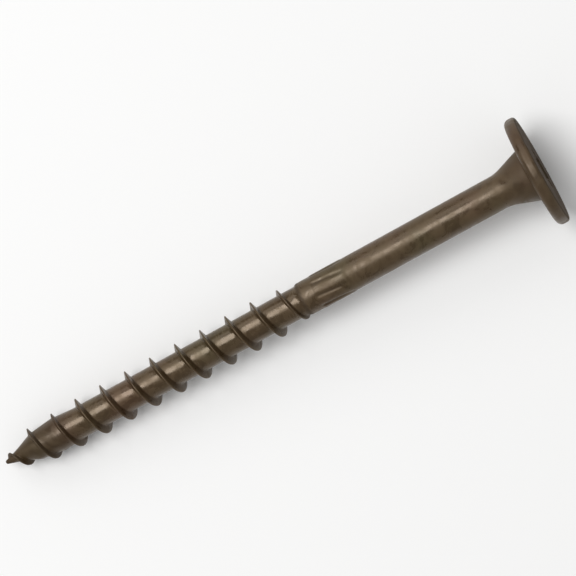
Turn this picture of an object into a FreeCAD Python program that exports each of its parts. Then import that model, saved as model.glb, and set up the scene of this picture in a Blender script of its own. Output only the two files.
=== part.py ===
import FreeCAD, Part
import math
import os

import Sketcher
from FreeCAD import Placement, Rotation, Vector

# A construction screw for timber: one piece of hardened steel, cold headed, rolled and coated.
# It is modelled upright, point at zero and head on top, and then laid down as it comes to rest:
# on the rim of its head and on one crest of the thread, with the head towards +X.

doc = FreeCAD.newDocument("ConstructionScrew")

# Sizes in millimetres, degrees and turns. Each one can be changed by itself.
DRIVING = [
    ("overall_length", "101.6", "top of the head to the point"),
    ("head_radius", "9.55", "wide flat washer head"),
    ("head_thickness", "2.1", "flat underside to flat top"),
    ("rim_under_round", "1.0", "round on the lower edge of the rim"),
    ("rim_top_round", "0.55", "round on the upper edge of the rim"),
    ("neck_length", "5.1", "conical neck under the head"),
    ("neck_radius", "4.65", "neck where it meets the head"),
    ("neck_flare", "0.6", "flare where the neck runs into the head"),
    ("neck_shank_round", "6.0", "hollow round, neck to shank"),
    ("shank_radius", "2.87", "plain shank"),
    ("shoulder_height", "57.0", "point to the step from root to shank"),
    ("shoulder_length", "0.25", "length of that step"),
    ("root_radius", "2.58", "core of the thread"),
    ("swell_radius", "2.88", "core where it is thickest, above the point"),
    ("swell_fall", "4.2", "from there up to the even core"),
    ("swell_rise", "4.27", "from there down to the point"),
    ("point_length", "5.93", "conical point"),
    ("point_radius", "2.38", "core where the point begins"),
    ("waist_radius", "1.15", "slender part of the point"),
    ("waist_height", "2.8", "end to the slender part"),
    ("nose_radius", "0.36", "blunt end of the point"),
    ("nose_length", "0.3", "length of the blunt end"),
    ("thread_pitch", "4.81", "coarse thread for timber"),
    ("crest_radius", "3.84", "outside of the full thread"),
    ("crest_width", "0.3", "flat on the crest"),
    ("ridge_width", "1.06", "thread where it leaves the core"),
    ("ridge_sink", "0.3", "how deep the thread's foot lies in the core"),
    ("taper_turns", "2", "turns that drop towards the point"),
    ("taper_drop", "0.5", "what the crest loses over them"),
    ("point_turns", "1.05", "turns on the point"),
    ("point_drop", "2.28", "what the crest loses over them"),
    ("run_out_turns", "1.5", "turns that fade into the shank"),
    ("run_out_past", "1.35", "how far the thread runs past the shoulder"),
    ("knurl_radius", "2.94", "knurled band"),
    ("knurl_gap", "2.5", "shoulder to the band"),
    ("knurl_length", "6.1", "length of the band"),
    ("knurl_depth", "0.2", "depth of its flutes"),
    ("knurl_flute", "1.1", "width of a flute"),
    ("knurl_count", "8", "flutes round the shank"),
    ("knurl_twist", "12", "degrees that a flute turns over the band"),
    ("knurl_start", "11", "where the first flute starts, degrees"),
    ("drive_outer", "3.375", "six-lobe recess, radius over the lobes"),
    ("drive_inner", "2.425", "its radius between the lobes"),
    ("drive_lobe", "0.55", "round of a lobe's end"),
    ("drive_depth", "3.3", "depth of the lobes"),
    ("drive_cone", "0.8", "conical bottom below them"),
    ("drive_mouth", "0.3", "bevel round the mouth"),
    ("rolled_by", "90", "how far the screw has rolled, degrees"),
]

# What follows from them.
DERIVED = [
    ("head_under", "=overall_length - head_thickness"),
    ("neck_start", "=head_under - neck_length"),
    ("flare_start", "=head_under - neck_flare"),
    ("flare_radius", "=neck_radius - neck_flare * (neck_radius - shank_radius) / neck_length"),
    ("shoulder_top", "=shoulder_height + shoulder_length"),
    ("swell_height", "=point_length + swell_rise"),
    ("swell_top", "=swell_height + swell_fall"),
    ("taper_length", "=taper_turns * thread_pitch"),
    ("full_start", "=point_length + taper_length"),
    ("run_length", "=run_out_turns * thread_pitch"),
    ("run_stop", "=shoulder_top + run_out_past"),
    ("run_start", "=run_stop - run_length"),
    ("full_length", "=run_start - full_start"),
    ("full_turns", "=full_length / thread_pitch"),
    ("point_run", "=point_turns * thread_pitch"),
    ("point_start", "=point_length - point_run"),
    ("flank_slope", "=(ridge_width - crest_width) / 2 / (crest_radius - root_radius)"),
    ("ridge_depth", "=crest_radius - root_radius + ridge_sink"),
    ("taper_crest", "=crest_radius - taper_drop"),
    ("point_depth", "=taper_crest - point_radius + ridge_sink"),
    ("point_crest", "=taper_crest - point_drop"),
    ("tip_depth", "=point_crest - nose_radius / 2"),
    ("run_crest", "=shank_radius - ridge_sink / 6"),
    ("knurl_bottom", "=shoulder_top + knurl_gap"),
    ("knurl_top", "=knurl_bottom + knurl_length"),
    ("knurl_lead", "=knurl_length * 360 / knurl_twist"),
    ("lobe_centre", "=drive_outer - drive_lobe"),
    ("web_round", "=(lobe_centre ^ 2 + drive_inner ^ 2 - 2 * lobe_centre * drive_inner * cos(30)"
                  " - drive_lobe ^ 2) / (2 * (lobe_centre * cos(30) - drive_inner + drive_lobe))"),
    ("drive_floor", "=overall_length - drive_depth"),
]

sheet = doc.addObject("Spreadsheet::Sheet", "Sizes")
for row, (alias, text, note) in enumerate(DRIVING, start=1):
    sheet.set("A%d" % row, alias)
    sheet.set("B%d" % row, text)
    sheet.set("C%d" % row, note)
    sheet.setAlias("B%d" % row, alias)
for row, (alias, text) in enumerate(DERIVED, start=len(DRIVING) + 1):
    sheet.set("A%d" % row, alias)
    sheet.set("B%d" % row, text)
    sheet.setAlias("B%d" % row, alias)
doc.recompute()

body = doc.addObject("PartDesign::Body", "Screw")
body.Label = "screw"


def size(expression):
    """Value of an expression over the sheet's names, as a plain number."""
    value = sheet.evalExpression(expression)
    return float(getattr(value, "Value", value))


def origin_plane(role):
    """One of the body's own origin planes."""
    for feature in body.Origin.OriginFeatures:
        if feature.Role == role:
            return feature
    raise RuntimeError("no origin plane " + role)


def new_sketch(name, role="XZ_Plane"):
    """Sketch on an origin plane. On XZ, sketch x is the radius and sketch y is the height."""
    sketch = body.newObject("Sketcher::SketchObject", name)
    sketch.AttachmentSupport = [(origin_plane(role), "")]
    sketch.MapMode = "FlatFace"
    return sketch


def bind(sketch, constraint, expression):
    """Add a dimension and let the sheet drive it."""
    index = sketch.addConstraint(constraint)
    sketch.setExpression("Constraints[%d]" % index, expression)


def named(expression):
    """Put the sheet's name before each of its aliases."""
    words = expression.split(" ")
    aliases = {entry[0] for entry in DRIVING + DERIVED}
    return " ".join("Sizes." + word if word in aliases else word for word in words)


def place_vertex(sketch, line, horizontal, vertical):
    """Fix the start of a line at two expressions, where None means on the axis."""
    if horizontal is None:
        sketch.addConstraint(Sketcher.Constraint("PointOnObject", line, 1, -2))
    else:
        first = Sketcher.Constraint("DistanceX", -1, 1, line, 1, size(horizontal))
        bind(sketch, first, named(horizontal))
    if vertical is None:
        sketch.addConstraint(Sketcher.Constraint("PointOnObject", line, 1, -1))
    else:
        second = Sketcher.Constraint("DistanceY", -1, 1, line, 1, size(vertical))
        bind(sketch, second, named(vertical))


def closed_outline(sketch, points):
    """Closed polygon whose vertices all hang on the sheet."""
    places = [Vector(size(x) if x else 0, size(y) if y else 0, 0) for x, y in points]
    count = len(places)
    for i in range(count):
        sketch.addGeometry(Part.LineSegment(places[i], places[(i + 1) % count]), False)
    for i in range(count):
        sketch.addConstraint(Sketcher.Constraint("Coincident", i, 2, (i + 1) % count, 1))
    for i, (x, y) in enumerate(points):
        place_vertex(sketch, i, x, y)


def circle_edges(feature, radius, height):
    """Names of a feature's circular edges round Z of one radius, at one height."""
    names = []
    for i, edge in enumerate(feature.Shape.Edges, start=1):
        if not isinstance(edge.Curve, Part.Circle):
            continue
        if abs(edge.Curve.Radius - radius) < 1e-4 and abs(edge.Curve.Center.z - height) < 1e-4:
            names.append("Edge%d" % i)
    return names


def round_edge(name, base, radius, height, round_alias):
    """Round the circular edge at a radius and a height of the newest feature."""
    fillet = body.newObject("PartDesign::Fillet", name)
    fillet.Base = (base, circle_edges(base, size(radius), size(height)))
    fillet.Radius = size(round_alias)
    fillet.setExpression("Radius", "Sizes." + round_alias)
    doc.recompute()
    return fillet


# The blank: head, neck, shank, core and point, turned about Z. The rim's two rounds are turned as
# short straight steps of 30 and 45 degrees.
blank_outline = new_sketch("BlankOutline")
closed_outline(blank_outline, [
    (None, None),
    ("nose_radius", "nose_length"),
    ("waist_radius", "waist_height"),
    ("point_radius", "point_length"),
    ("swell_radius", "swell_height"),
    ("root_radius", "swell_top"),
    ("root_radius", "shoulder_height"),
    ("shank_radius", "shoulder_top"),
    ("shank_radius", "knurl_bottom"),
    ("knurl_radius", "knurl_bottom + knurl_radius - shank_radius"),
    ("knurl_radius", "knurl_top - knurl_radius + shank_radius"),
    ("shank_radius", "knurl_top"),
    ("shank_radius", "neck_start"),
    ("flare_radius", "flare_start"),
    ("neck_radius + neck_flare", "head_under"),
    ("head_radius - rim_under_round", "head_under"),
    ("head_radius - rim_under_round * 0.5", "head_under + rim_under_round * 0.134"),
    ("head_radius - rim_under_round * 0.134", "head_under + rim_under_round * 0.5"),
    ("head_radius", "head_under + rim_under_round"),
    ("head_radius", "overall_length - rim_top_round"),
    ("head_radius - rim_top_round * 0.293", "overall_length - rim_top_round * 0.293"),
    ("head_radius - rim_top_round", "overall_length"),
    (None, "overall_length"),
])
blank = body.newObject("PartDesign::Revolution", "Blank")
blank.Profile = blank_outline
blank.ReferenceAxis = (blank_outline, ["V_Axis"])
blank.Angle = 360
doc.recompute()

round_edge("NeckRound", blank, "shank_radius", "neck_start", "neck_shank_round")


def ridge_section(name, height, turned, crest, depth):
    """Section of the thread's ridge at a height and at an angle about Z."""
    section = new_sketch(name)
    foot = "%s - %s" % (crest, depth)
    wide = "crest_width / 2 + %s * flank_slope" % depth
    closed_outline(section, [
        (foot, "%s - ( %s )" % (height, wide)),
        (crest, "%s - crest_width / 2" % height),
        (crest, "%s + crest_width / 2" % height),
        (foot, "%s + %s" % (height, wide)),
    ])
    section.AttachmentOffset = Placement(Vector(), Rotation(Vector(0, 1, 0), 1))
    section.setExpression(".AttachmentOffset.Rotation.Angle", named(turned))
    return section


def fading_run(name, lower, upper, height, turned, length):
    """Ridge along a right-hand helix that changes from its lower section to its upper one."""
    path = doc.addObject("Part::Helix", name + "Path")
    path.setExpression("Pitch", "Sizes.thread_pitch")
    path.setExpression("Height", named(length))
    path.setExpression("Radius", "Sizes.root_radius")
    path.SegmentLength = 1
    path.Placement = Placement(Vector(), Rotation(Vector(0, 0, 1), 1))
    path.setExpression(".Placement.Base.z", named(height))
    path.setExpression(".Placement.Rotation.Angle", named(turned))
    doc.recompute()
    spine = body.newObject("PartDesign::SubShapeBinder", name + "Spine")
    spine.Support = [(path, ("",))]
    doc.recompute()
    ridge = body.newObject("PartDesign::AdditivePipe", name)
    ridge.Profile = lower
    ridge.Spine = (spine, ["Edge%d" % i for i in range(1, len(spine.Shape.Edges) + 1)])
    ridge.Mode = "Frenet"
    ridge.Transformation = "Multisection"
    ridge.Sections = [(upper, [""])]
    doc.recompute()
    return ridge


# The thread, right-handed. Its runs meet on shared sections: on the point, tapering, at full
# height, and fading out on the shank.
point_turn = "-360 deg * ( taper_turns + point_turns )"
taper_turn = "-360 deg * taper_turns"
run_turn = "360 deg * full_turns"
end_turn = "360 deg * ( full_turns + run_out_turns )"
point_end = ridge_section("PointEnd", "point_start", point_turn, "point_crest", "tip_depth")
point_join = ridge_section("PointJoin", "point_length", taper_turn, "taper_crest", "point_depth")
taper_join = ridge_section("TaperJoin", "point_length", taper_turn, "taper_crest", "ridge_depth")
full_join = ridge_section("FullJoin", "full_start", "0 deg", "crest_radius", "ridge_depth")
run_join = ridge_section("RunJoin", "run_start", run_turn, "crest_radius", "ridge_depth")
run_end = ridge_section("RunEnd", "run_stop", end_turn, "run_crest", "ridge_depth")

full = body.newObject("PartDesign::AdditiveHelix", "FullThread")
full.Profile = full_join
full.ReferenceAxis = (full_join, ["V_Axis"])
full.Mode = "pitch-height-angle"
full.setExpression("Pitch", "Sizes.thread_pitch")
full.setExpression("Height", "Sizes.full_length")
doc.recompute()
fading_run("TaperThread", taper_join, full_join, "point_length", taper_turn, "taper_length")
fading_run("PointThread", point_end, point_join, "point_start", point_turn, "point_run")
fading_run("RunOut", run_join, run_end, "run_start", run_turn, "run_length")

# Knurl: shallow flutes cut slightly askew into the raised band.
flute_section = new_sketch("FluteSection", "XY_Plane")
flute_offset = Placement(Vector(0, 0, size("knurl_bottom")), Rotation(Vector(0, 0, 1), 1))
flute_section.AttachmentOffset = flute_offset
flute_section.setExpression(".AttachmentOffset.Base.z", "Sizes.knurl_bottom")
flute_section.setExpression(".AttachmentOffset.Rotation.Angle", "Sizes.knurl_start")
flute_points = [
    ("knurl_radius - knurl_depth", 0),
    ("knurl_radius", 1),
    ("knurl_radius + knurl_depth", 1),
    ("knurl_radius + knurl_depth", -1),
    ("knurl_radius", -1),
]
half_flute = size("knurl_flute / 2")
corners = [Vector(size(x), side * half_flute, 0) for x, side in flute_points]
for i in range(5):
    line = Part.LineSegment(corners[i], corners[(i + 1) % 5])
    flute_section.addGeometry(line, False)
for i in range(5):
    flute_section.addConstraint(Sketcher.Constraint("Coincident", i, 2, (i + 1) % 5, 1))
for i, (x, side) in enumerate(flute_points):
    bind(flute_section, Sketcher.Constraint("DistanceX", -1, 1, i, 1, size(x)), named(x))
    if side > 0:
        across = Sketcher.Constraint("DistanceY", -1, 1, i, 1, half_flute)
    elif side < 0:
        across = Sketcher.Constraint("DistanceY", i, 1, -1, 1, half_flute)
    else:
        flute_section.addConstraint(Sketcher.Constraint("PointOnObject", i, 1, -1))
        continue
    bind(flute_section, across, "Sizes.knurl_flute / 2")
flute = body.newObject("PartDesign::SubtractiveHelix", "Flute")
flute.Profile = flute_section
flute.ReferenceAxis = (flute_section, ["N_Axis"])
flute.Mode = "pitch-height-angle"
flute.setExpression("Pitch", "Sizes.knurl_lead")
flute.setExpression("Height", "Sizes.knurl_length")
doc.recompute()
flutes = body.newObject("PartDesign::PolarPattern", "Flutes")
flutes.Originals = [flute]
flutes.Axis = (flute_section, ["N_Axis"])
flutes.Angle = 360
flutes.Occurrences = 8
flutes.setExpression("Occurrences", "Sizes.knurl_count")
body.Tip = flutes
doc.recompute()

# Six-lobe recess in the top of the head: round lobes joined by hollow webs, all tangent.
drive_section = new_sketch("DriveSection", "XY_Plane")
drive_section.AttachmentOffset = Placement(Vector(0, 0, size("overall_length")), Rotation())
drive_section.setExpression(".AttachmentOffset.Base.z", "Sizes.overall_length")
lobe_at = size("lobe_centre")
lobe_round = size("drive_lobe")
web_round = size("web_round")
web_at = size("drive_inner") + web_round
up = Vector(0, 0, 1)
for k in range(6):
    lobe_way = math.radians(60 * k)
    web_way = math.radians(60 * k + 30)
    lobe_mid = Vector(lobe_at * math.cos(lobe_way), lobe_at * math.sin(lobe_way), 0)
    web_mid = Vector(web_at * math.cos(web_way), web_at * math.sin(web_way), 0)
    first_way = math.atan2((web_mid - lobe_mid).y, (web_mid - lobe_mid).x)
    half_lobe = abs(math.remainder(first_way - lobe_way, 2 * math.pi))
    half_web = abs(math.remainder(first_way - web_way, 2 * math.pi))
    lobe_circle = Part.Circle(lobe_mid, up, lobe_round)
    web_circle = Part.Circle(web_mid, up, web_round)
    inward = web_way + math.pi
    lobe = Part.ArcOfCircle(lobe_circle, lobe_way - half_lobe, lobe_way + half_lobe)
    web = Part.ArcOfCircle(web_circle, inward - half_web, inward + half_web)
    drive_section.addGeometry(lobe, False)
    drive_section.addGeometry(web, False)
for k in range(6):
    lobe = 2 * k
    web = lobe + 1
    after = (lobe + 2) % 12
    drive_section.addConstraint(Sketcher.Constraint("Tangent", lobe, 2, web, 2))
    drive_section.addConstraint(Sketcher.Constraint("Tangent", web, 1, after, 1))
for k in range(6):
    way = "(%d deg)" % (60 * k)
    mid = drive_section.Geometry[2 * k].Center
    bind(drive_section, Sketcher.Constraint("DistanceX", -1, 1, 2 * k, 3, mid.x),
         "Sizes.lobe_centre * cos" + way)
    bind(drive_section, Sketcher.Constraint("DistanceY", -1, 1, 2 * k, 3, mid.y),
         "Sizes.lobe_centre * sin" + way)
    bind(drive_section, Sketcher.Constraint("Radius", 2 * k, lobe_round), "Sizes.drive_lobe")
    bind(drive_section, Sketcher.Constraint("Radius", 2 * k + 1, web_round), "Sizes.web_round")
drive = body.newObject("PartDesign::Pocket", "Drive")
drive.Profile = drive_section
drive.setExpression("Length", "Sizes.drive_depth")
doc.recompute()


def turned_cut(name, points):
    """Cut a form turned about Z."""
    outline = new_sketch(name + "Outline")
    closed_outline(outline, points)
    cut = body.newObject("PartDesign::Groove", name)
    cut.Profile = outline
    cut.ReferenceAxis = (outline, ["V_Axis"])
    cut.Angle = 360
    doc.recompute()
    return cut


turned_cut("DriveCone", [
    (None, "drive_floor - drive_cone"),
    ("drive_inner - drive_mouth / 2", "drive_floor"),
    ("drive_inner - drive_mouth / 2", "drive_floor + drive_mouth"),
    (None, "drive_floor + drive_mouth"),
])
turned_cut("DriveMouth", [
    (None, "overall_length - drive_mouth"),
    ("drive_outer - drive_mouth", "overall_length - drive_mouth"),
    ("drive_outer + drive_mouth", "overall_length + drive_mouth"),
    (None, "overall_length + drive_mouth"),
])

# Every feature has to have come out whole.
for item in doc.Objects:
    if "Invalid" in item.State or "Error" in item.State:
        raise RuntimeError("%s is in state %s" % (item.Name, item.State))
    if item.isDerivedFrom("PartDesign::Feature") and (item.Shape.isNull() or not item.Shape.isValid()):
        raise RuntimeError("%s has no valid shape" % item.Name)
if len(body.Shape.Solids) != 1:
    raise RuntimeError("the screw is in %d pieces" % len(body.Shape.Solids))

# How it lies: the axis towards +X, rolled about it, and dipped until the rim of the head and the
# lowest crest touch the same floor.
skin = body.Shape.tessellate(0.02)[0]
middle = size("overall_length") / 2
along = Rotation(Vector(0, 1, 0), 90)
roll = Rotation(Vector(0, 0, 1), size("rolled_by"))


def lowest(rotation, of_head):
    """Lowest point of the head's half or of the point's half under a rotation."""
    return min(rotation.multVec(p).z for p in skin if (p.z > middle) == of_head)


low_dip = 0.0
high_dip = 20.0
for step in range(40):
    dip = (low_dip + high_dip) / 2
    lying = Rotation(Vector(0, 1, 0), -dip) * along * roll
    if lowest(lying, True) < lowest(lying, False):
        low_dip = dip
    else:
        high_dip = dip
placed = [lying.multVec(p) for p in skin]
centre_x = (min(p.x for p in placed) + max(p.x for p in placed)) / 2
centre_y = (min(p.y for p in placed) + max(p.y for p in placed)) / 2
floor_z = min(p.z for p in placed)
body.Placement = Placement(Vector(-centre_x, -centre_y, -floor_z), lying)
doc.recompute()
print("dip of the axis: %.3f degrees" % dip)

os.makedirs("parts", exist_ok=True)
screw = body.Shape.Solids[0]
if screw.isNull() or not screw.isValid():
    raise RuntimeError("the placed screw is not valid")
screw.exportStep("parts/screw.step")
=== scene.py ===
"""A coated construction screw at rest on a pale floor, with its light and camera."""

import logging
import math
from dataclasses import dataclass, field
from enum import Enum
from typing import Callable, Sequence

import bmesh
import bpy
from mathutils import Matrix, Vector


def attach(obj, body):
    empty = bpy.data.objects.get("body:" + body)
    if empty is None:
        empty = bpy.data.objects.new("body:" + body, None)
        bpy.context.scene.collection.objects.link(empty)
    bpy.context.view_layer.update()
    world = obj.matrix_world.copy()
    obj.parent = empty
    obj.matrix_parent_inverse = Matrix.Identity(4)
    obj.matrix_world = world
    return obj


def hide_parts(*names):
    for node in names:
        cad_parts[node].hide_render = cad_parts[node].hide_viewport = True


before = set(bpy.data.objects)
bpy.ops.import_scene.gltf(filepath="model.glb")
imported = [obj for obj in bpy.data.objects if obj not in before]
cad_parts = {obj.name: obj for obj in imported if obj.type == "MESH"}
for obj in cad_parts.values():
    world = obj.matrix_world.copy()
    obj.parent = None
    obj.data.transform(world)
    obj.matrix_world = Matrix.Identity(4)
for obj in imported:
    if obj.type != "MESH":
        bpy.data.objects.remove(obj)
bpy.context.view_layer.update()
MM = 0.001
FULL_TURN = 2.0 * math.pi
ORIGIN = (0.0, 0.0, 0.0)
NOISE_MIDDLE = 0.5
LOG = logging.getLogger("construction_screw")

Station = tuple[float, float]
Colour = tuple[float, float, float, float]


class LampRole(Enum):
    """What a studio lamp does."""

    KEY = "key"
    SIDE = "side"


class Side(Enum):
    """Side of the thread's ridge."""

    POINT = -1
    HEAD = 1


# Sizes and forms, in millimetres, over the upright screw with its point at the origin


def blend_in(value: float, low: float, high: float) -> float:
    """Smooth step from 0 at low to 1 at high.

    Args:
        value: Where to read the step.
        low: Where it starts.
        high: Where it ends.

    Returns:
        A number from 0 to 1.
    """
    share = min(max((value - low) / (high - low), 0.0), 1.0)
    return share * share * (3.0 - 2.0 * share)


@dataclass(frozen=True)
class Fade:
    """Strength of something that comes or goes between two places."""

    share: float
    low: float
    high: float

    def rise(self, value: float) -> float:
        """Strength at a place, from none at low to full at high."""
        return self.share * blend_in(value, self.low, self.high)

    def fall(self, value: float) -> float:
        """Strength at a place, from full at low to none at high."""
        return self.share * (1.0 - blend_in(value, self.low, self.high))


def read_line(stations: Sequence[Station], at: float) -> float:
    """Read a chain of straight runs at one place.

    Args:
        stations: Pairs of place and value, in rising order of place.
        at: Where to read.

    Returns:
        The value there, held level past either end.
    """
    if at <= stations[0][0]:
        return stations[0][1]
    for (low, first), (high, second) in zip(stations, stations[1:]):
        if at <= high:
            return first + (second - first) * (at - low) / (high - low)
    return stations[-1][1]


@dataclass(frozen=True)
class RestPose:
    """How the upright screw is laid down, as in the solid model."""

    dip_deg: float = 3.7800
    roll_deg: float = 90.0
    point_mm: tuple[float, float, float] = (-50.9861, 0.0, 2.9008)

    def matrix(self) -> Matrix:
        """Lay the upright screw down.

        Returns:
            The matrix from the upright screw to the lying one, in metres.
        """
        lay = Matrix.Rotation(math.radians(90.0 - self.dip_deg), 4, "Y")
        roll = Matrix.Rotation(math.radians(self.roll_deg), 4, "Z")
        return Matrix.Translation(Vector(self.point_mm) * MM) @ lay @ roll

    def along(self) -> Vector:
        """Direction of the lying screw's axis towards its head."""
        dip = math.radians(self.dip_deg)
        return Vector((math.cos(dip), 0.0, math.sin(dip)))


@dataclass(frozen=True)
class ThreadForm:
    """Core and ridge of the thread, as pairs of height above the point and radius.

    The phase is a height at which the ridge's middle passes the screw's +X side. The flank's
    slope is how much wider the ridge's half gets for each millimetre below the crest.
    """

    pitch: float = 4.81
    crest_width: float = 0.20
    flank_slope: float = 0.3413
    phase: float = 15.55
    full_crest: float = 3.836
    full_core: float = 2.58
    corner_ease: float = 0.05
    cores: tuple[Station, ...] = (
        (0.0, 0.27), (0.3, 0.36), (2.8, 1.15), (5.93, 2.38), (10.2, 2.88), (14.4, 2.58),
        (57.0, 2.58), (57.25, 2.87),
    )
    crests: tuple[Station, ...] = (
        (0.6, 0.5), (0.88, 1.06), (5.93, 3.34), (15.55, 3.836), (51.4, 3.836), (58.6, 2.82),
    )

    def core(self, height: float) -> float:
        """Radius of the core, its corners eased.

        Args:
            height: Height above the point.

        Returns:
            The radius.
        """
        near = [read_line(self.cores, height + self.corner_ease * k) for k in (-1.0, 0.0, 1.0)]
        return sum(near) / len(near)

    def ridge(self, height: float) -> float:
        """How far the crest stands over the core.

        Args:
            height: Height above the point.

        Returns:
            The ridge's height, 0 where there is no thread.
        """
        if not self.crests[0][0] < height < self.crests[-1][0]:
            return 0.0
        return max(read_line(self.crests, height) - self.core(height), 0.0)


@dataclass(frozen=True)
class RidgePoint:
    """One point of the thread's outline over a pitch.

    A point on the core has a fixed place along the pitch. A point on a flank has a share of the
    ridge's height and a small spread past the straight flank, for the hollow at its foot.
    """

    side: Side
    share: float
    spread: float
    fixed: float | None = None

    def place(self, form: ThreadForm, middle: float) -> Station:
        """Place this point where the ridge's middle is at a height.

        Args:
            form: The thread.
            middle: Height of the ridge's middle.

        Returns:
            Radius and height.
        """
        if self.fixed is not None:
            return form.core(middle + self.fixed), middle + self.fixed
        ridge = form.ridge(middle)
        away = form.crest_width / 2 + form.flank_slope * (1.0 - self.share) * ridge + self.spread
        height = middle + self.side.value * away
        core = form.core(height)
        top = form.core(middle) + ridge
        return core + self.share * max(top - core, 0.0), height


@dataclass(frozen=True)
class PitchOutline:
    """Outline of one pitch, from the middle of one hollow to the middle of the next.

    The core's points are shares of the pitch away from the ridge's middle. The flank's are pairs
    of a share of the ridge's height and a spread past the straight flank.
    """

    core_shares: tuple[float, ...] = (0.5, 0.43, 0.36, 0.3, 0.245)
    flank: tuple[Station, ...] = (
        (0.0, 0.11), (0.015, 0.05), (0.05, 0.015), (0.15, 0.0), (0.45, 0.0), (0.75, 0.0),
        (0.92, 0.0), (0.98, -0.015), (1.0, -0.055),
    )

    def points(self, pitch: float) -> list[RidgePoint]:
        """List the outline's points.

        Args:
            pitch: The thread's pitch.

        Returns:
            The points in order of height.
        """
        on_core = [share * pitch for share in self.core_shares]
        lower = [RidgePoint(Side.POINT, 0.0, 0.0, -away) for away in on_core]
        lower += [RidgePoint(Side.POINT, share, spread) for share, spread in self.flank]
        upper = [RidgePoint(Side.HEAD, share, spread) for share, spread in reversed(self.flank)]
        upper += [RidgePoint(Side.HEAD, 0.0, 0.0, away) for away in reversed(on_core)]
        return lower + upper


@dataclass(frozen=True)
class KnurlForm:
    """Shallow flutes rolled slightly askew into a raised band of the shank.

    The band comes in about the bottom and goes about the top. The flutes grow shallower on the
    way to the top.
    """

    bottom: float = 59.75
    top: float = 65.85
    shank: float = 2.87
    band: float = 2.94
    depth: float = 0.2
    count: int = 8
    twist_deg: float = 12.0
    start_deg: float = 11.0
    comes: Fade = Fade(1.0, -0.1, 0.4)
    goes: Fade = Fade(1.0, -0.5, 0.1)
    flute: Fade = Fade(1.0, 0.0, 0.52)
    shallows: Fade = Fade(0.6, -2.4, -0.4)

    def radius(self, angle: float, height: float) -> float:
        """Radius of the knurled shank.

        Args:
            angle: Angle about the axis, in radians.
            height: Height above the point.

        Returns:
            The radius.
        """
        inside = self.comes.rise(height - self.bottom) * self.goes.fall(height - self.top)
        turned = math.radians(self.twist_deg) * (height - self.bottom) / (self.top - self.bottom)
        turn = (angle - turned - math.radians(self.start_deg)) * self.count / FULL_TURN
        flute = self.flute.fall(2.0 * abs(turn - round(turn)))
        flute *= 1.0 - self.shallows.rise(height - self.top)
        return self.shank + inside * (self.band - self.shank - self.depth * flute)


@dataclass(frozen=True)
class DriveForm:
    """Six-lobe recess in the head, with a bevelled mouth and a conical bottom.

    The bevel's rings are shares of the mouth outwards and down. The cone's rings are shares of
    the inner radius and of the cone's depth.
    """

    outer: float = 3.375
    inner: float = 2.425
    lobe: float = 0.55
    depth: float = 3.3
    cone: float = 0.8
    mouth: float = 0.3
    floor_drop: float = 0.02
    floor_inset: float = 0.05
    cone_inset: float = 0.1
    bevel_rings: tuple[Station, ...] = ((0.8, 0.0), (0.45, 0.3), (0.0, 1.0))
    cone_rings: tuple[Station, ...] = ((0.6, 0.4), (0.25, 0.78))

    def radius(self, angle: float, grow: float = 0.0) -> float:
        """Radius of the lobed wall, grown outwards.

        Args:
            angle: Angle about the axis, in radians.
            grow: How far the wall moves out.

        Returns:
            The radius.
        """
        half = math.pi / 6.0
        away = abs(math.remainder(angle, 2.0 * half))
        reach = self.outer - self.lobe
        cosine = math.cos(half)
        web = reach ** 2 + self.inner ** 2 - 2 * reach * self.inner * cosine - self.lobe ** 2
        web /= 2.0 * (reach * cosine - self.inner + self.lobe)
        centre = self.inner + web
        round_off = self.lobe + grow
        round_in = web - grow
        tip = Vector((reach, 0.0))
        hollow = Vector((centre * cosine, centre * math.sin(half)))
        touch = tip + (hollow - tip).normalized() * round_off
        if away < math.atan2(touch.y, touch.x):
            across = reach * math.sin(away)
            return reach * math.cos(away) + math.sqrt(round_off ** 2 - across ** 2)
        slant = half - away
        across = centre * math.sin(slant)
        return centre * math.cos(slant) - math.sqrt(max(round_in ** 2 - across ** 2, 0.0))

    def floor_radius(self, angle: float) -> float:
        """Radius where the wall turns into the conical bottom, at an angle in radians."""
        return min(self.radius(angle) - self.floor_inset, self.inner - self.cone_inset)


# Modelling


def line_stations(start: Station, end: Station, steps: int) -> list[Station]:
    """Stations along a straight run of the turned outline.

    Args:
        start: Radius and height of the start, which is left out.
        end: Radius and height of the end.
        steps: Number of steps.

    Returns:
        Pairs of radius and height.
    """
    across, rise = end[0] - start[0], end[1] - start[1]
    return [(start[0] + across * k / steps, start[1] + rise * k / steps)
            for k in range(1, steps + 1)]


def arc_stations(
    centre: Station, radius: float, first_deg: float, last_deg: float, steps: int
) -> list[Station]:
    """Stations along a round of the turned outline.

    Args:
        centre: Radius and height of the round's centre.
        radius: Radius of the round.
        first_deg: Where it starts, from straight outwards, turning upwards; left out.
        last_deg: Where it ends.
        steps: Number of steps.

    Returns:
        Pairs of radius and height.
    """
    ways = [math.radians(first_deg + (last_deg - first_deg) * k / steps)
            for k in range(1, steps + 1)]
    return [(centre[0] + radius * math.cos(way), centre[1] + radius * math.sin(way))
            for way in ways]


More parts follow.
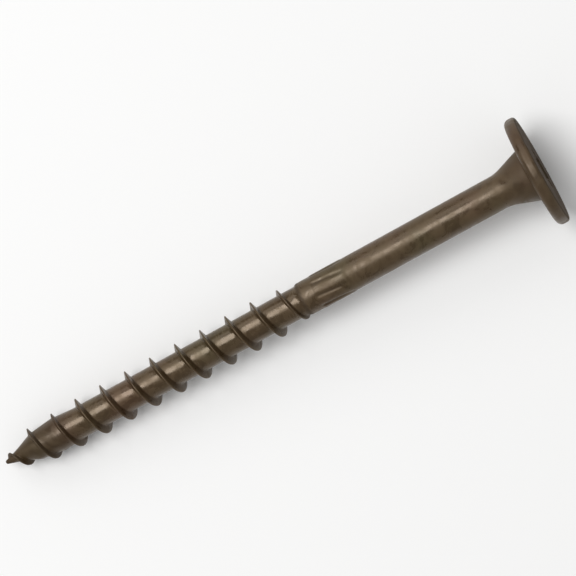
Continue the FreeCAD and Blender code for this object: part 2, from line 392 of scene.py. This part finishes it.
class Turner:
    """Turns rings onto the open end of a mesh in edit mode, the axis being Z."""

    CUT_SLACK = 0.00001
    ON_CUT = 0.0001

    def __init__(self, piece: bpy.types.Object) -> None:
        """Keep the piece to turn on.

        Args:
            piece: The piece, in edit mode.
        """
        self.piece = piece
        self.radius = 0.0
        self.height = 0.0

    def cut_at(self, radius: float, height: float, keep_below: bool) -> None:
        """Cut the mesh level and start from the cut's rim.

        Args:
            radius: Radius of the mesh at the cut.
            height: Height of the cut.
            keep_below: Whether what lies below the cut stays.
        """
        bpy.ops.mesh.select_all(action="SELECT")
        bpy.ops.mesh.bisect(
            plane_co=(0.0, 0.0, height * MM), plane_no=(0.0, 0.0, 1.0),
            threshold=self.CUT_SLACK * MM,
            clear_outer=keep_below, clear_inner=not keep_below,
        )
        bpy.ops.mesh.select_all(action="DESELECT")
        mesh = bmesh.from_edit_mesh(self.piece.data)
        for edge in mesh.edges:
            off_cut = max(abs(vertex.co.z / MM - height) for vertex in edge.verts)
            if edge.is_boundary and off_cut < self.ON_CUT:
                edge.select_set(True)
        bmesh.update_edit_mesh(self.piece.data)
        self.radius = radius
        self.height = height

    def turn_to(self, radius: float, height: float) -> None:
        """Extrude the rim.

        Args:
            radius: The rim's new radius.
            height: Its new height.
        """
        rise = (height - self.height) * MM
        bpy.ops.mesh.extrude_region_move(TRANSFORM_OT_translate={"value": (0.0, 0.0, rise)})
        scale = radius / self.radius
        bpy.ops.transform.resize(value=(scale, scale, 1.0), center_override=ORIGIN)
        self.radius = radius
        self.height = height

    def turn_along(self, stations: Sequence[Station]) -> None:
        """Extrude the rim through pairs of radius and height."""
        for radius, height in stations:
            self.turn_to(radius, height)

    def form_rim(self, radius_at: Callable[[float], float]) -> None:
        """Give the rim a radius that changes with the angle.

        Args:
            radius_at: Gives the radius at an angle in radians.
        """
        mesh = bmesh.from_edit_mesh(self.piece.data)
        for vertex in mesh.verts:
            if vertex.select:
                angle = math.atan2(vertex.co.y, vertex.co.x)
                radius = radius_at(angle) * MM
                vertex.co.x = radius * math.cos(angle)
                vertex.co.y = radius * math.sin(angle)
        bmesh.update_edit_mesh(self.piece.data)

    def close(self) -> None:
        """Close the rim in one point."""
        bpy.ops.mesh.extrude_region_move(TRANSFORM_OT_translate={"value": ORIGIN})
        bpy.ops.mesh.merge(type="CENTER")


@dataclass
class Thread:
    """Point, core and ridge, swept as one skin."""

    form: ThreadForm = field(default_factory=ThreadForm)
    outline: PitchOutline = field(default_factory=PitchOutline)
    turns: int = 14
    turns_below: int = 4
    steps: int = 128
    weld: float = 0.002

    def draw_outline(self, points: Sequence[Station]) -> bpy.types.Object:
        """Draw one pitch as a chain of edges.

        Args:
            points: Pairs of radius and height.

        Returns:
            The new object.
        """
        first = Vector((points[0][0], 0.0, points[0][1])) * MM
        bpy.ops.mesh.primitive_plane_add(size=MM, location=first)
        outline = bpy.context.object
        bpy.ops.object.transform_apply(location=True, rotation=True, scale=True)
        bpy.ops.object.mode_set(mode="EDIT")
        bpy.ops.mesh.select_all(action="SELECT")
        bpy.ops.mesh.merge(type="CENTER")
        for (radius, height), (to_radius, to_height) in zip(points, points[1:]):
            step = Vector((to_radius - radius, 0.0, to_height - height)) * MM
            bpy.ops.mesh.extrude_vertices_move(TRANSFORM_OT_translate={"value": step})
        bpy.ops.object.mode_set(mode="OBJECT")
        return outline

    def sweep(self) -> bpy.types.Object:
        """Sweep the outline up the screw and shape it to the core and the ridge.

        Returns:
            The threaded skin, open at both ends.
        """
        pitch = self.form.pitch
        points = self.outline.points(pitch)
        full = self.form.phase + pitch
        placed = [point.place(self.form, full) for point in points]
        drawn = [(radius, height - full) for radius, height in placed]
        skin = self.draw_outline(drawn)
        order = self.match_order(skin, drawn)
        sweep = skin.modifiers.new("Thread", "SCREW")
        sweep.angle = FULL_TURN
        sweep.screw_offset = pitch * MM
        sweep.iterations = self.turns
        sweep.steps = self.steps
        sweep.render_steps = self.steps
        sweep.use_merge_vertices = False
        bpy.ops.object.modifier_apply(modifier=sweep.name)
        start = self.form.phase - self.turns_below * pitch
        for index, vertex in enumerate(skin.data.vertices):
            step, place = divmod(index, len(points))
            turn = step / self.steps
            radius, height = points[order[place]].place(self.form, start + turn * pitch)
            angle = FULL_TURN * turn
            vertex.co = Vector((radius * math.cos(angle), radius * math.sin(angle), height)) * MM
        bpy.ops.object.mode_set(mode="EDIT")
        bpy.ops.mesh.select_all(action="SELECT")
        bpy.ops.mesh.remove_doubles(threshold=self.weld * MM)
        bpy.ops.object.mode_set(mode="OBJECT")
        return skin

    @staticmethod
    def match_order(skin: bpy.types.Object, drawn: Sequence[Station]) -> list[int]:
        """Find which outline point each drawn vertex is, as drawing shuffles them.

        Args:
            skin: The drawn outline.
            drawn: Pairs of radius and height.

        Returns:
            For each vertex, the index of its point.
        """
        order = []
        for vertex in skin.data.vertices:
            gaps = [abs(vertex.co.x / MM - radius) + abs(vertex.co.z / MM - height)
                    for radius, height in drawn]
            order.append(gaps.index(min(gaps)))
        return order


@dataclass
class Shank:
    """Knurled band, plain shank and conical neck, turned onto the threaded skin."""

    knurl: KnurlForm = field(default_factory=KnurlForm)
    radius: float = 2.87
    neck_start: float = 94.4
    neck_radius: float = 4.65
    neck_top: float = 99.5
    blend_radius: float = 6.0
    flare: float = 0.6
    knurl_margin: float = 0.15
    plain_gap: float = 0.5
    knurl_steps: int = 30
    plain_steps: int = 6
    blend_steps: int = 8
    neck_steps: int = 4
    flare_steps: int = 5

    def turn(self, turner: Turner) -> None:
        """Turn the shank and the neck, up to the underside of the head.

        Args:
            turner: Stands at the top of the thread.
        """
        self.turn_knurl(turner)
        slope = math.atan2(self.neck_radius - self.radius, self.neck_top - self.neck_start)
        first = self.neck_start - self.blend_radius * math.tan(slope / 2.0)
        plain = (self.radius, turner.height + self.plain_gap)
        turner.turn_along(line_stations(plain, (self.radius, first), self.plain_steps))
        centre = (self.radius + self.blend_radius, first)
        turner.turn_along(arc_stations(
            centre, self.blend_radius, 180.0, 180.0 - math.degrees(slope), self.blend_steps))
        low = self.neck_top - self.flare
        at_low = self.neck_radius - self.flare * math.tan(slope)
        turner.turn_along(
            line_stations((turner.radius, turner.height), (at_low, low), self.neck_steps))
        self.turn_flare(turner, self.neck_radius + self.flare)

    def turn_knurl(self, turner: Turner) -> None:
        """Turn the knurled band.

        Args:
            turner: Stands at the top of the thread.
        """
        low = self.knurl.bottom - self.knurl_margin
        high = self.knurl.top + self.knurl_margin
        for step in range(self.knurl_steps + 1):
            height = low + (high - low) * step / self.knurl_steps
            turner.turn_to(self.radius, height)
            turner.form_rim(lambda angle: self.knurl.radius(angle, height))
        turner.form_rim(lambda angle: self.radius)

    def turn_flare(self, turner: Turner, radius: float) -> None:
        """Turn the hollow round that runs from the neck into the head's underside.

        Args:
            turner: Stands at the top of the straight neck.
            radius: Where the round meets the underside.
        """
        low, at_low = turner.height, turner.radius
        for step in range(1, self.flare_steps + 1):
            way = math.radians(90.0 * step / self.flare_steps)
            turner.turn_to(at_low + (radius - at_low) * (1.0 - math.cos(way)),
                           low + self.flare * math.sin(way))


@dataclass
class Head:
    """Washer head with rounded rim and a six-lobe recess."""

    drive: DriveForm = field(default_factory=DriveForm)
    radius: float = 9.539
    under: float = 99.5
    top: float = 101.6
    under_round: float = 1.0
    top_round: float = 0.55
    mouth_margin: float = 0.35
    under_steps: int = 4
    under_round_steps: int = 10
    top_round_steps: int = 8
    top_steps: int = 5
    wall_steps: int = 4

    def turn(self, turner: Turner) -> None:
        """Turn the underside, rim, top and recess.

        Args:
            turner: Stands at the top of the neck.
        """
        low = (self.radius - self.under_round, self.under + self.under_round)
        high = (self.radius - self.top_round, self.top - self.top_round)
        turner.turn_along(line_stations(
            (turner.radius, self.under), (low[0], self.under), self.under_steps))
        turner.turn_along(arc_stations(
            low, self.under_round, -90.0, 0.0, self.under_round_steps))
        turner.turn_to(self.radius, high[1])
        turner.turn_along(arc_stations(high, self.top_round, 0.0, 90.0, self.top_round_steps))
        mouth = self.drive.outer + self.drive.mouth + self.mouth_margin
        turner.turn_along(line_stations((high[0], self.top), (mouth, self.top), self.top_steps))
        self.sink_drive(turner)

    def sink_drive(self, turner: Turner) -> None:
        """Sink the six-lobe recess.

        Args:
            turner: Stands on the flat top, around the recess.
        """
        drive = self.drive
        for out, down in drive.bevel_rings:
            turner.turn_to(drive.outer + drive.mouth * out, self.top - drive.mouth * down)
            turner.form_rim(lambda angle: drive.radius(angle, drive.mouth * out))
        floor = self.top - drive.depth
        mouth = (drive.outer, self.top - drive.mouth)
        for radius, height in line_stations(mouth, (drive.outer, floor), self.wall_steps):
            turner.turn_to(radius, height)
            turner.form_rim(drive.radius)
        turner.turn_to(drive.outer, floor - drive.floor_drop)
        turner.form_rim(drive.floor_radius)
        turner.radius = drive.inner - drive.cone_inset
        turner.turn_along([(drive.inner * across, floor - drive.cone * down)
                           for across, down in drive.cone_rings])
        turner.close()


@dataclass
class Wear:
    """What making and handling have left on the coating of the upright screw, and where shade is
    painted into it.

    Each measure takes the radius and the height of a place. The dressed mesh carries them as
    attributes, which the finish reads. Most fades run over the distance from their feature.
    Crest, foot and upper flank run over shares of the thread's height, and land and flute over
    the radius.
    """

    thread: ThreadForm
    knurl: KnurlForm
    head: Head
    seam: float
    crest: Fade = Fade(1.0, 0.72, 0.98)
    land: Fade = Fade(0.6, 2.9, 2.945)
    edge: Fade = Fade(0.8, 0.2, 0.8)
    edge_width: float = 0.7
    edge_height: float = 1.2
    dies_end: Fade = Fade(1.0, -2.0, 0.0)
    pinched: Fade = Fade(0.5, 10.0, 15.0)
    neck_comes: Fade = Fade(0.45, -5.7, -2.0)
    neck_goes: Fade = Fade(1.0, -0.4, 0.0)
    rim: Fade = Fade(0.30, -0.8, 0.0)
    flat_top: Fade = Fade(1.0, -0.3, -0.02)
    # Where the hollow attribute paints shade: thread feet, the shoulder ring, flutes, the recess
    # and the corner under the head.
    nose_end: float = 1.5
    flank_height: float = 1.26
    foot: Fade = Fade(1.0, 0.0, 0.05)
    upper_flank: Fade = Fade(0.6, 0.3, 0.9)
    # Painted shade on the shoulder step, which faces away from the key lamp.
    shoulder_ring: float = 57.4
    ring: Fade = Fade(1.8, 0.15, 0.50)
    flute: Fade = Fade(1.0, 2.74, 2.85)
    recess: Fade = Fade(1.0, 0.3, 1.6)
    recess_margin: float = 0.1
    recess_reach: float = 4.5
    corner: Fade = Fade(0.9, 0.25, 0.8)
    corner_radius: float = 5.6

    def mark(self, skin: bpy.types.Object) -> None:
        """Write every measure onto the points of the upright screw.

        Args:
            skin: The upright screw.
        """
        # The hollow attribute carries painted shade, and exposed carries wear.
        measures = {
            "exposed": self.exposure, "hollow": self.painted_shade,
            "rolled": self.rolling, "stamped_and_shaded": self.stamping_and_shading,
        }
        for name, measure in measures.items():
            mask = skin.data.attributes.new(name, "FLOAT", "POINT")
            for index, vertex in enumerate(skin.data.vertices):
                radius = math.hypot(vertex.co.x, vertex.co.y) / MM
                mask.data[index].value = measure(radius, vertex.co.z / MM)

    def exposure(self, radius: float, height: float) -> float:
        """How much a place rubs on others: crests, knurl lands and the head's upper edge.

        Args:
            radius: Radius of the place.
            height: Its height.

        Returns:
            A number from 0 to 1.
        """
        if height < self.seam:
            ridge = self.thread.full_crest - self.thread.full_core
            return self.crest.rise((radius - self.thread.core(height)) / ridge)
        if height < self.knurl.top:
            return self.land.rise(radius)
        inwards, down = self.head.radius - radius, self.head.top - height
        if inwards < self.edge_width and down < self.edge_height:
            return self.edge.fall(math.hypot(inwards, down))
        return 0.0

    def rolling(self, radius: float, height: float) -> float:
        """How smooth the thread dies have left a place: full on the thread, none on the shank."""
        return self.dies_end.fall(height - self.seam)

    def stamping_and_shading(self, radius: float, height: float) -> float:
        """How rough the presses left a place and how dark it is: the pinched point, the neck and
        the head. It is darkest on the flat top, where the dark is painted shade.

        Args:
            radius: Radius of the place; not used.
            height: Its height.

        Returns:
            A number from 0 to 1, largest on the flat top.
        """
        past_neck = height - self.head.under
        neck = self.neck_comes.rise(past_neck) * self.neck_goes.fall(past_neck)
        # The flat top is drawn nearly to the dark colour: painted shade.
        flat_top = self.flat_top.rise(height - self.head.top)
        return max(self.pinched.fall(height), neck, self.rim.rise(past_neck), flat_top)

    def painted_shade(self, radius: float, height: float) -> float:
        """How much shade is painted into a place, which is also made rougher: thread feet, the
        shoulder ring, flutes, the recess and the corner under the head.

        Args:
            radius: Radius of the place.
            height: Its height.

        Returns:
            A number from 0 to 1, and more than 1 at the shoulder.
        """
        if self.nose_end < height < self.seam:
            lift = (radius - self.thread.core(height)) / self.flank_height
            flank = self.foot.rise(lift) * (1.0 - self.upper_flank.rise(lift))
            return max(flank, self.ring.fall(abs(height - self.shoulder_ring)))
        if height < self.knurl.top:
            return self.flute.fall(radius)
        down = self.head.top - height
        if radius < self.head.drive.outer + self.recess_margin and down < self.recess_reach:
            return self.recess.rise(down)
        # Painted crease shadow where the neck meets the head's underside.
        away = abs(height - self.head.under) + max(radius - self.corner_radius, 0.0)
        return self.corner.fall(away)


@dataclass
class ConstructionScrew:
    """The whole screw, one skin from the nose to the bottom of the recess."""

    thread: Thread = field(default_factory=Thread)
    shank: Shank = field(default_factory=Shank)
    head: Head = field(default_factory=Head)
    pose: RestPose = field(default_factory=RestPose)
    seam: float = 58.66
    nose: tuple[Station, ...] = (
        (0.36, 0.3), (0.32, 0.16), (0.25, 0.075), (0.15, 0.03), (0.06, 0.012),
    )
    smooth_deg: float = 38.0

    def build(self) -> bpy.types.Object:
        """Model the screw upright, mark its wear and its painted shade, and lay it down.

        Returns:
            The finished piece, at the origin, unturned and unscaled.
        """
        bpy.ops.object.select_all(action="DESELECT")
        skin = self.thread.sweep()
        bpy.ops.object.mode_set(mode="EDIT")
        turner = Turner(skin)
        turner.cut_at(*self.nose[0], keep_below=False)
        turner.turn_along(self.nose[1:])
        turner.close()
        turner.cut_at(self.shank.radius, self.seam, keep_below=True)
        self.shank.turn(turner)
        self.head.turn(turner)
        bpy.ops.mesh.select_all(action="SELECT")
        bpy.ops.mesh.normals_make_consistent(inside=False)
        bpy.ops.object.mode_set(mode="OBJECT")
        Wear(self.thread.form, self.shank.knurl, self.head, self.seam).mark(skin)
        skin.matrix_world = self.pose.matrix()
        bpy.ops.object.transform_apply(location=True, rotation=True, scale=True)
        bpy.ops.object.shade_smooth_by_angle(angle=math.radians(self.smooth_deg))
        skin.name = "screw_dressed"
        skin.data.name = "screw_dressed"
        return skin


# Finishes


class Signal:
    """A shader socket that takes part in Python arithmetic."""

    def __init__(self, bench: "ShaderBench", socket: bpy.types.NodeSocket) -> None:
        """Wrap a socket of a bench's material."""
        self.bench = bench
        self.socket = socket

    def _math(self, operation: str, first: object, second: object) -> "Signal":
        """Add one Math node."""
        return self.bench.node("ShaderNodeMath", {"operation": operation},
                               {0: first, 1: second}).out(0)

    def __add__(self, other: "Signal | float") -> "Signal":
        """Sum."""
        return self._math("ADD", self, other)

    __radd__ = __add__

    def __sub__(self, other: "Signal | float") -> "Signal":
        """Difference."""
        return self._math("SUBTRACT", self, other)

    def __rsub__(self, other: float) -> "Signal":
        """Difference from a number."""
        return self._math("SUBTRACT", other, self)

    def __mul__(self, other: "Signal | float") -> "Signal":
        """Product."""
        return self._math("MULTIPLY", self, other)

    __rmul__ = __mul__


class AddedNode:
    """A node of a material, which hands out its outputs."""

    def __init__(self, bench: "ShaderBench", made: bpy.types.Node) -> None:
        """Keep the node and its bench."""
        self.bench = bench
        self.made = made

    def out(self, key: int | str) -> Signal:
        """One output as a signal."""
        return Signal(self.bench, self.made.outputs[key])


class ShaderBench:
    """Builds one procedural material."""

    def __init__(self, name: str) -> None:
        """Start an empty material.

        Args:
            name: The material's name.
        """
        self.material = bpy.data.materials.new(name)
        self.material.use_nodes = True
        self.tree = self.material.node_tree
        self.tree.nodes.clear()

    def node(
        self, kind: str, settings: dict[str, object], inputs: dict[int | str, object]
    ) -> AddedNode:
        """Add a node, its settings first and then its sockets.

        Args:
            kind: Blender's type name of the node.
            settings: Properties of the node.
            inputs: Values or signals by socket name or index.

        Returns:
            The node, wrapped.
        """
        made = self.tree.nodes.new(kind)
        for key, value in settings.items():
            setattr(made, key, value)
        for key, value in inputs.items():
            if isinstance(value, Signal):
                self.tree.links.new(value.socket, made.inputs[key])
            else:
                made.inputs[key].default_value = value
        return AddedNode(self, made)

    def noise(
        self, vector: Signal, scale: float, detail: float, rough: float = 0.5, swirl: float = 0.0
    ) -> Signal:
        """Noise from 0 to 1 over a vector.

        Args:
            vector: Where it is read.
            scale: Waves for each metre.
            detail: Number of finer layers.
            rough: Weight of the finer layers.
            swirl: How far its patches are drawn out of shape.

        Returns:
            The noise's value.
        """
        return self.node("ShaderNodeTexNoise", {"noise_dimensions": "3D"},
                         {"Vector": vector, "Scale": scale, "Detail": detail,
                          "Roughness": rough, "Distortion": swirl}).out(0)

    def step(self, value: Signal, low: float, high: float) -> Signal:
        """Smooth step of a value between two levels."""
        return self.node("ShaderNodeMapRange", {"interpolation_type": "SMOOTHSTEP"},
                         {"Value": value, "From Min": low, "From Max": high}).out(0)

    def mix(self, share: Signal, first: object, second: object) -> Signal:
        """Mix two colours, or signals that are colours, by the share of the second."""
        return self.node("ShaderNodeMix", {"data_type": "RGBA"},
                         {0: share, 6: first, 7: second}).out(2)

    def mask(self, name: str) -> Signal:
        """A number stored on the piece's points."""
        return self.node("ShaderNodeAttribute", {"attribute_name": name}, {}).out("Fac")

    def finish(self, shader: Signal) -> bpy.types.Material:
        """Lead a shader to the surface and hand over the material."""
        self.node("ShaderNodeOutputMaterial", {}, {"Surface": shader})
        return self.material


@dataclass(frozen=True)
class NoiseForm:
    """Size and character of one noise: waves for each metre, layers, their weight and swirl."""

    waves: float
    layers: float
    weight: float = 0.5
    swirl: float = 0.0

    def over(self, bench: ShaderBench, vector: Signal) -> Signal:
        """The noise over a vector, as a number from 0 to 1."""
        return bench.noise(vector, self.waves, self.layers, self.weight, self.swirl)


@dataclass(frozen=True)
class CoatTint:
    """How far each thing draws the coating towards another colour."""

    thin_dark: float = 0.50
    thick_pale: float = 0.42
    # Painted shade in the hollows, with more of it where the patch noise is high.
    hollow_shade: float = 0.22
    shade_in_patches: float = 0.4
    # Darker on the point, the neck and the rim; on the flat top this is painted shade.
    stamped_and_shaded: float = 0.9
    worn: float = 0.25


@dataclass(frozen=True)
class CoatSheen:
    """What each thing adds to the coating's roughness."""

    exposed: float = 0.10
    grain: float = 0.16
    patches: float = 0.30
    # Roughness added where the hollows' shade is painted.
    hollow_shade: float = 0.12
    rolled: float = -0.07
    stamped_and_shaded: float = 0.18
    stamped_hard: float = 0.36


@dataclass(frozen=True)
class CoatRelief:
    """How much each noise adds to the coating's bumps, their strength and depth in metres."""

    grain: float = 0.5
    lines: float = 0.5
    patches: float = 0.6
    strength: float = 0.35
    depth: float = 0.00006


@dataclass(frozen=True)
class BronzeCoat:
    """Dark bronze-brown baked coating over rolled steel, satin and uneven, with shade painted
    into its hollows and onto the head's flat top.

    Each pair of levels says where on its noise a colour or the wear starts and is full.
    """

    body: Colour = (0.074, 0.046, 0.021, 1.0)
    olive: Colour = (0.064, 0.048, 0.019, 1.0)
    umber: Colour = (0.084, 0.044, 0.023, 1.0)
    # The dark colour also serves as painted shade.
    dark: Colour = (0.038, 0.021, 0.008, 1.0)
    rubbed: Colour = (0.114, 0.078, 0.040, 1.0)
    gleam: Colour = (1.0, 0.92, 0.82, 1.0)
    metallic: float = 0.25
    specular: float = 0.55
    roughness: float = 0.33
    tint: CoatTint = CoatTint()
    sheen: CoatSheen = CoatSheen()
    relief: CoatRelief = CoatRelief()
    patches: NoiseForm = NoiseForm(300.0, 3.0, 0.60, 1.6)
    hue: NoiseForm = NoiseForm(95.0, 2.0)
    grain: NoiseForm = NoiseForm(2600.0, 4.0, 0.6)
    lines: NoiseForm = NoiseForm(2200.0, 3.0, 0.55)
    line_stretch: float = 0.12
    patch_levels: tuple[float, float] = (0.28, 0.72)
    umber_levels: tuple[float, float] = (0.52, 0.68)
    olive_levels: tuple[float, float] = (0.50, 0.34)
    wear_levels: tuple[float, float] = (0.36, 0.62)
    pose: RestPose = RestPose()

    def build(self) -> bpy.types.Material:
        """Make the material.

        Returns:
            The coating.
        """
        bench = ShaderBench("bronze_coat")
        place = bench.node("ShaderNodeTexCoord", {}, {}).out("Object")
        patches = self.patches.over(bench, place)
        grain = self.grain.over(bench, place)
        lines = self.lines.over(bench, self.stretch(bench, place))
        uneven = bench.step(patches, *self.patch_levels)
        stamped_and_shaded = bench.mask("stamped_and_shaded")
        exposed = bench.mask("exposed")
        # The hollow attribute marks painted shade: thread feet, shoulder ring, flutes, recess and
        # the corner under the head.
        hollow = bench.mask("hollow")
        hue = self.hue.over(bench, place)
        tint = self.tint
        colour = bench.mix(bench.step(hue, *self.umber_levels), self.body, self.umber)
        colour = bench.mix(bench.step(hue, *self.olive_levels), colour, self.olive)
        colour = bench.mix(tint.thin_dark * (1.0 - uneven), colour, self.dark)
        colour = bench.mix(tint.thick_pale * uneven, colour, self.rubbed)
        # Painted shade: the hollows are drawn towards the dark colour.
        hollow_shade = hollow * (tint.hollow_shade + tint.shade_in_patches * patches)
        colour = bench.mix(hollow_shade, colour, self.dark)
        # Darker on the pinched point, the neck and the rim; on the flat top, drawn nearly to the
        # dark colour, this is painted shade.
        colour = bench.mix(tint.stamped_and_shaded * stamped_and_shaded, colour, self.dark)
        wear = exposed * bench.step(0.5 * (grain + patches), *self.wear_levels)
        colour = bench.mix(tint.worn * wear, colour, self.rubbed)
        sheen = self.sheen
        rough = self.roughness + sheen.exposed * exposed + sheen.grain * (grain - NOISE_MIDDLE)
        rough = rough + sheen.patches * (uneven - NOISE_MIDDLE) + sheen.hollow_shade * hollow
        rough = rough + sheen.rolled * bench.mask("rolled")
        rough = rough + stamped_and_shaded * (sheen.stamped_and_shaded + sheen.stamped_hard * stamped_and_shaded)
        relief = self.relief
        height = relief.grain * grain + relief.lines * lines + relief.patches * patches
        bump = bench.node("ShaderNodeBump", {}, {
            "Strength": relief.strength, "Distance": relief.depth, "Height": height,
        }).out(0)
        shader = bench.node("ShaderNodeBsdfPrincipled", {}, {
            "Base Color": colour, "Metallic": self.metallic, "Roughness": rough,
            "Specular IOR Level": self.specular, "Specular Tint": self.gleam, "Normal": bump,
        }).out(0)
        return bench.finish(shader)

    def stretch(self, bench: ShaderBench, place: Signal) -> Signal:
        """Draw a place out along the lying screw, for the fine lines that rolling leaves.

        Args:
            bench: The material's bench.
            place: Object coordinates.

        Returns:
            The coordinates, turned by the dip and drawn out.
        """
        turn = (0.0, math.radians(self.pose.dip_deg), 0.0)
        scale = (self.line_stretch, 1.0, 1.0)
        return bench.node("ShaderNodeMapping", {"vector_type": "POINT"},
                          {"Vector": place, "Rotation": turn, "Scale": scale}).out(0)


@dataclass(frozen=True)
class PaleFloor:
    """Plain matt floor."""

    colour: Colour = (0.93, 0.93, 0.925, 1.0)
    roughness: float = 0.9
    specular: float = 0.1

    def build(self) -> bpy.types.Material:
        """Make the material.

        Returns:
            The floor's finish.
        """
        bench = ShaderBench("pale_floor")
        shader = bench.node("ShaderNodeBsdfPrincipled", {}, {
            "Base Color": self.colour, "Roughness": self.roughness,
            "Specular IOR Level": self.specular,
        }).out(0)
        return bench.finish(shader)


# Studio, in metres where a name says nothing else


@dataclass(frozen=True)
class Lamp:
    """One soft square lamp aimed at the screw."""

    role: LampRole
    place: tuple[float, float, float]
    size: float
    power: float

    def hang(self, aim: Vector) -> None:
        """Hang the lamp.

        Args:
            aim: Where it points.
        """
        data = bpy.data.lights.new("lamp_" + self.role.value, "AREA")
        data.size = self.size
        data.energy = self.power
        lamp = bpy.data.objects.new(data.name, data)
        lamp.location = Vector(self.place)
        lamp.rotation_euler = (aim - lamp.location).to_track_quat("-Z", "Y").to_euler()
        bpy.context.scene.collection.objects.link(lamp)


@dataclass
class Studio:
    """Floor, lamps, world and the camera of the photograph.

    The camera's numbers were fitted to the photograph's outline: the focal length and an offset
    in its pixels, a pixel's size on the screw, the slant of the screw's axis out of the picture
    and its turn within it, and the place along the axis in the picture's middle.
    """

    pose: RestPose = field(default_factory=RestPose)
    focal_px: float = 2700.0
    picture_px: float = 576.0
    sensor_mm: float = 36.0
    near_limit: float = 0.01
    scale_mm: float = 0.16352
    slant_deg: float = 9.11
    turn_deg: float = 28.859
    middle_mm: float = 55.93
    aside_px: float = 17.46
    floor_size: float = 3.0
    aim_height: float = 0.005
    world_level: float = 0.40
    lamps: tuple[Lamp, ...] = (
        Lamp(LampRole.KEY, (-0.342, 0.365, 1.090), 0.66, 9.6),
        Lamp(LampRole.SIDE, (-0.10, 0.85, 0.60), 0.50, 1.2),
    )

    def set_up(self) -> None:
        """Put everything in place."""
        self.lay_floor()
        self.light_world()
        for lamp in self.lamps:
            lamp.hang(Vector((0.0, 0.0, self.aim_height)))
        self.place_camera()

    def lay_floor(self) -> None:
        """Lay the floor under the screw."""
        bpy.ops.object.select_all(action="DESELECT")
        bpy.ops.mesh.primitive_plane_add(size=self.floor_size, location=ORIGIN)
        floor = bpy.context.object
        floor.name = "floor"
        floor.data.materials.append(PaleFloor().build())

    def light_world(self) -> None:
        """Give the world a plain even light."""
        world = bpy.data.worlds.new("studio")
        world.use_nodes = True
        backdrop = world.node_tree.nodes["Background"]
        backdrop.inputs["Color"].default_value = (1.0, 1.0, 1.0, 1.0)
        backdrop.inputs["Strength"].default_value = self.world_level
        bpy.context.scene.world = world

    def place_camera(self) -> None:
        """Place the camera nearly straight above, turned as the photograph is."""
        lean = math.radians(self.slant_deg - self.pose.dip_deg)
        towards = Vector((math.sin(lean), 0.0, math.cos(lean)))
        along = Vector((math.cos(lean), 0.0, -math.sin(lean)))
        aside = Vector((0.0, 1.0, 0.0))
        turn = math.radians(self.turn_deg)
        right = along * math.cos(turn) - aside * math.sin(turn)
        up = along * math.sin(turn) + aside * math.cos(turn)
        point = Vector(self.pose.point_mm) * MM
        aim = point + self.pose.along() * self.middle_mm * MM
        aim += aside * self.aside_px * self.scale_mm * MM
        place = aim + towards * self.focal_px * self.scale_mm * MM
        data = bpy.data.cameras.new("camera")
        data.sensor_width = self.sensor_mm
        data.lens = self.focal_px / self.picture_px * self.sensor_mm
        data.clip_start = self.near_limit
        camera = bpy.data.objects.new("camera", data)
        axes = Matrix((right, up, towards)).transposed().to_4x4()
        camera.matrix_world = Matrix.Translation(place) @ axes
        bpy.context.scene.collection.objects.link(camera)
        bpy.context.scene.camera = camera


def main() -> None:
    """Build the screw and its studio, and report each piece."""
    logging.basicConfig(level=logging.INFO, format="%(name)s: %(message)s")
    piece = ConstructionScrew().build()
    piece.data.materials.clear()
    piece.data.materials.append(BronzeCoat().build())
    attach(piece, "root")
    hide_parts("screw")
    LOG.info("%s: %d faces", piece.name, len(piece.data.polygons))
    Studio().set_up()
    bpy.context.scene.view_settings.view_transform = "Standard"
    LOG.info("studio set up")


if __name__ == "__main__":
    main()
